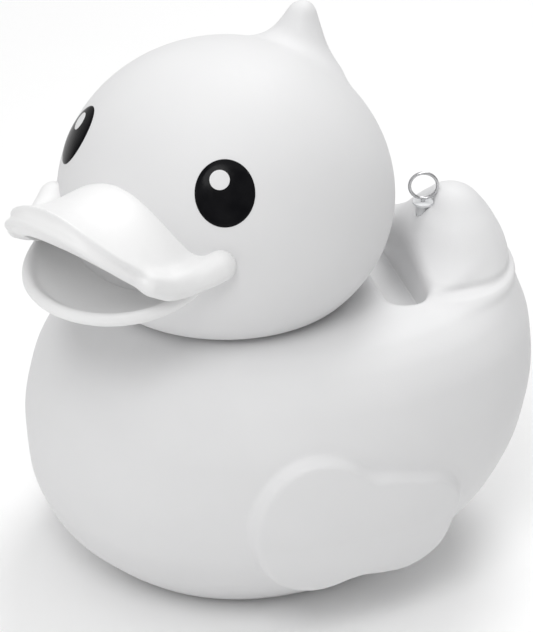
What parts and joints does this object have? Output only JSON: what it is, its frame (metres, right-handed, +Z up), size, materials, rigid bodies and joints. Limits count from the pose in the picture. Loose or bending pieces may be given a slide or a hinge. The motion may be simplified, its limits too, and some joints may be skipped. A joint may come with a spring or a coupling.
{
  "type": "floating chlorine dispenser",
  "caption": "Duck-shaped float that holds chlorine tablets in a vented basket; turning the head opens or shuts the vents, and the head lifts off for refilling.",
  "frame": {"origin": "where the upright axis of the tablet well meets the resting plane, on the underside of the vent plate", "axes": "+Z up along the well's axis, -Y the way the body faces, +X the duck's left"},
  "size_m": [0.203, 0.2326, 0.24],
  "materials": {
    "shell_grey": "satin moulded, very light grey",
    "bill_white": "satin moulded, white",
    "eye_black": "polished",
    "white_plastic": "satin",
    "basket_plastic": "satin",
    "tablet_chlorine": "pressed powder, stands in for chlorine tablets",
    "seal_rubber": "matt",
    "steel": "stainless",
    "ballast_iron": "coated"
  },
  "bodies": {
    "float": {"body_lower": "shell_grey", "body_upper": "shell_grey", "vent_plate": "white_plastic", "well_tube": "white_plastic", "base_gasket": "seal_rubber", "well_screws": "steel", "neck_seal": "seal_rubber", "ballast_ring": "ballast_iron", "ballast_screws": "steel", "tether_bush": "white_plastic"},
    "basket": {"tablet_basket": "basket_plastic", "flow_shutter": "basket_plastic", "tablet_lower": "tablet_chlorine", "tablet_middle": "tablet_chlorine", "tablet_upper": "tablet_chlorine"},
    "head": {"head_shell": "shell_grey", "head_base": "white_plastic", "head_gasket": "seal_rubber", "head_screws": "steel", "upper_bill": "bill_white", "lower_bill": "bill_white", "left_eye": "eye_black", "right_eye": "eye_black", "eye_clips": "steel", "bill_clips": "steel"},
    "tether": {"tether_eye": "steel", "tether_nut": "steel"}
  },
  "joints": [
    {"name": "flow_turn", "type": "hinge", "parent": "float", "child": "basket", "pos_m": [0, 0, 0], "axis": [0, 0, 1], "range_deg": [-34, 11]},
    {"name": "head_lift", "type": "slide", "parent": "basket", "child": "head", "axis": [0, 0, 1], "range_m": [0, 0.06]},
    {"name": "tether_swivel", "type": "hinge", "parent": "float", "child": "tether", "pos_m": [0, 0.083, 0.15], "axis": [0, 0, 1], "continuous": true}
  ]
}
